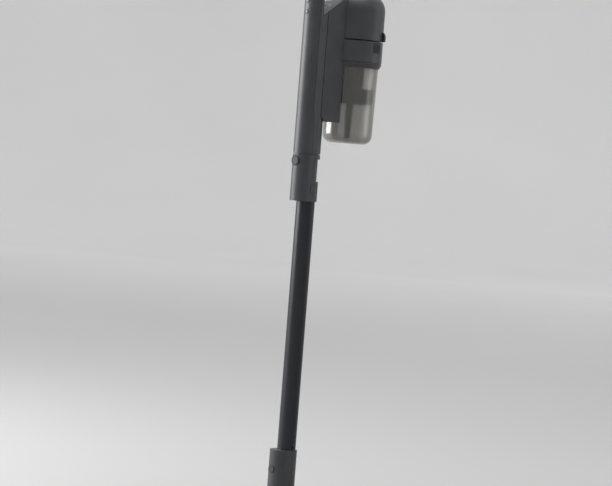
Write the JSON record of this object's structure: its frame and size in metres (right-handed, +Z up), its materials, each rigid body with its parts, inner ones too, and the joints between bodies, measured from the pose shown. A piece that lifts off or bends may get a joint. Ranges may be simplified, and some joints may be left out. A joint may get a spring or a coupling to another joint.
{
  "type": "cordless stick vacuum",
  "caption": "Upright cordless stick vacuum: floor head, hinged neck, slim wand, pole grip with battery, and a motor over a clear cyclone bin behind it.",
  "frame": {"origin": "on the floor, under the centre line of the wand", "axes": "+Z up along the wand, +Y towards the dust bin and the front of the floor head, X across"},
  "size_m": [0.252, 0.1715, 1.02],
  "materials": {
    "shell_plastic": "satin charcoal, fine spark texture",
    "dark_plastic": "matt black",
    "wand_metal": "anodised satin graphite",
    "clear_plastic": "clear polycarbonate with a smoke tint",
    "cap_plastic": "satin grey button cap",
    "rubber": "matt moulded rubber",
    "steel": "plain steel",
    "copper": "enamelled windings on laminations",
    "circuit": "solder mask",
    "cell_wrap": "shrink sleeve",
    "filter_felt": "pleated felt and foam",
    "bristle": "nylon bristle strips",
    "pile": "short velvet pile",
    "mesh": "perforated steel sheet"
  },
  "bodies": {
    "head": {"sole": "dark_plastic", "glide_pads": "pile", "head_shell": "shell_plastic", "roller_window": "clear_plastic", "front_bumper": "rubber", "lamp_lens": "clear_plastic", "head_duct": "dark_plastic", "brush_motor": "steel", "belt": "rubber", "axles": "steel", "sole_screws": "steel"},
    "roller": {"roller": "dark_plastic", "bristles": "bristle"},
    "motor_pulley": {"motor_pulley": "steel"},
    "roller_cap": {"roller_cap": "cap_plastic"},
    "wheel_left": {"wheel_hub_left": "dark_plastic", "tyre_left": "rubber"},
    "wheel_right": {"wheel_hub_right": "dark_plastic", "tyre_right": "rubber"},
    "neck": {"neck": "dark_plastic"},
    "lower_collar": {"lower_collar": "shell_plastic", "lower_collar_front": "shell_plastic"},
    "lower_button": {"lower_button": "cap_plastic"},
    "wand": {"wand": "wand_metal", "wand_seal": "rubber", "upper_collar": "shell_plastic", "button_ring": "dark_plastic"},
    "release_button": {"release_button": "cap_plastic"},
    "pad_left": {"pad_left": "dark_plastic"},
    "pad_right": {"pad_right": "dark_plastic"},
    "unit": {"front_shell": "shell_plastic", "rear_shell": "shell_plastic", "duct_fin": "shell_plastic", "inlet_tube": "dark_plastic", "duct_gasket": "rubber", "circuit_board": "circuit", "motor_housing": "shell_plastic", "wall_bumper": "rubber", "motor_casing": "steel", "stator": "copper", "bearings": "steel"},
    "power_button": {"power_button": "cap_plastic"},
    "mode_button": {"mode_button": "cap_plastic"},
    "battery": {"battery": "cell_wrap", "battery_cap": "dark_plastic"},
    "rotor": {"rotor": "steel"},
    "exhaust_cap": {"exhaust_cap": "dark_plastic", "exhaust_filter": "filter_felt"},
    "bin": {"bin_collar": "shell_plastic", "cup_seal": "rubber", "cyclone": "dark_plastic", "shroud_mesh": "mesh", "prefilter": "filter_felt"},
    "dust_cup": {"dust_cup": "clear_plastic"},
    "bin_button_left": {"bin_button_left": "dark_plastic"},
    "bin_button_right": {"bin_button_right": "dark_plastic"}
  },
  "joints": [
    {"name": "roller_spin", "type": "hinge", "parent": "head", "child": "roller", "pos_m": [0, 0.084, 0.023], "axis": [1, 0, 0], "continuous": true},
    {"name": "motor_spin", "type": "hinge", "parent": "head", "child": "motor_pulley", "pos_m": [0, 0.046, 0.03], "axis": [1, 0, 0], "continuous": true},
    {"name": "roller_cap_pull", "type": "slide", "parent": "head", "child": "roller_cap", "axis": [-1, 0, 0], "range_m": [0, 0.02]},
    {"name": "wheel_left_spin", "type": "hinge", "parent": "head", "child": "wheel_left", "pos_m": [0, -0.028, 0.02], "axis": [1, 0, 0], "continuous": true},
    {"name": "wheel_right_spin", "type": "hinge", "parent": "head", "child": "wheel_right", "pos_m": [0, -0.028, 0.02], "axis": [1, 0, 0], "continuous": true},
    {"name": "neck_pitch", "type": "hinge", "parent": "head", "child": "neck", "pos_m": [0, 0, 0.034], "axis": [1, 0, 0], "range_deg": [0, 75]},
    {"name": "neck_swivel", "type": "hinge", "parent": "neck", "child": "lower_collar", "pos_m": [0, 0, 0.078], "axis": [0, 0, 1], "range_deg": [-60, 60]},
    {"name": "lower_button_press", "type": "slide", "parent": "lower_collar", "child": "lower_button", "axis": [0, 1, 0], "range_m": [0, 0.002], "stiffness_N_per_m": 500},
    {"name": "wand_pull", "type": "slide", "parent": "lower_collar", "child": "wand", "axis": [0, 0, 1], "range_m": [0, 0.055]},
    {"name": "release_button_press", "type": "slide", "parent": "wand", "child": "release_button", "axis": [0, 1, 0], "range_m": [0, 0.002], "stiffness_N_per_m": 500},
    {"name": "pad_left_press", "type": "slide", "parent": "wand", "child": "pad_left", "axis": [1, 0, 0], "range_m": [0, 0.001], "stiffness_N_per_m": 500},
    {"name": "pad_right_press", "type": "slide", "parent": "wand", "child": "pad_right", "axis": [-1, 0, 0], "range_m": [0, 0.001], "stiffness_N_per_m": 500},
    {"name": "unit_lift", "type": "slide", "parent": "wand", "child": "unit", "axis": [0, 0, 1], "range_m": [0, 0.045]},
    {"name": "power_button_press", "type": "slide", "parent": "unit", "child": "power_button", "axis": [0, 1, 0], "range_m": [0, 0.0012], "stiffness_N_per_m": 500},
    {"name": "mode_button_press", "type": "slide", "parent": "unit", "child": "mode_button", "axis": [0, 1, 0], "range_m": [0, 0.0012], "stiffness_N_per_m": 500},
    {"name": "battery_pull", "type": "slide", "parent": "unit", "child": "battery", "axis": [0, 0, 1], "range_m": [0, 0.15]},
    {"name": "rotor_spin", "type": "hinge", "parent": "unit", "child": "rotor", "pos_m": [0, 0.0715, 0], "axis": [0, 0, 1], "continuous": true},
    {"name": "exhaust_cap_lift", "type": "slide", "parent": "unit", "child": "exhaust_cap", "axis": [0, 0, 1], "range_m": [0, 0.03]},
    {"name": "bin_pull", "type": "slide", "parent": "unit", "child": "bin", "axis": [0, 1, 0], "range_m": [0, 0.06]},
    {"name": "dust_cup_pull", "type": "slide", "parent": "bin", "child": "dust_cup", "axis": [0, 0, -1], "range_m": [0, 0.06]},
    {"name": "bin_button_left_press", "type": "slide", "parent": "bin", "child": "bin_button_left", "axis": [0.9744, -0.225, 0], "range_m": [0, 0.0015], "stiffness_N_per_m": 500},
    {"name": "bin_button_right_press", "type": "slide", "parent": "bin", "child": "bin_button_right", "axis": [-0.9744, -0.225, 0], "range_m": [0, 0.0015], "stiffness_N_per_m": 500}
  ],
  "couplings": [
    {"joint": "motor_spin", "follows": "roller_spin", "ratio": 1}
  ]
}
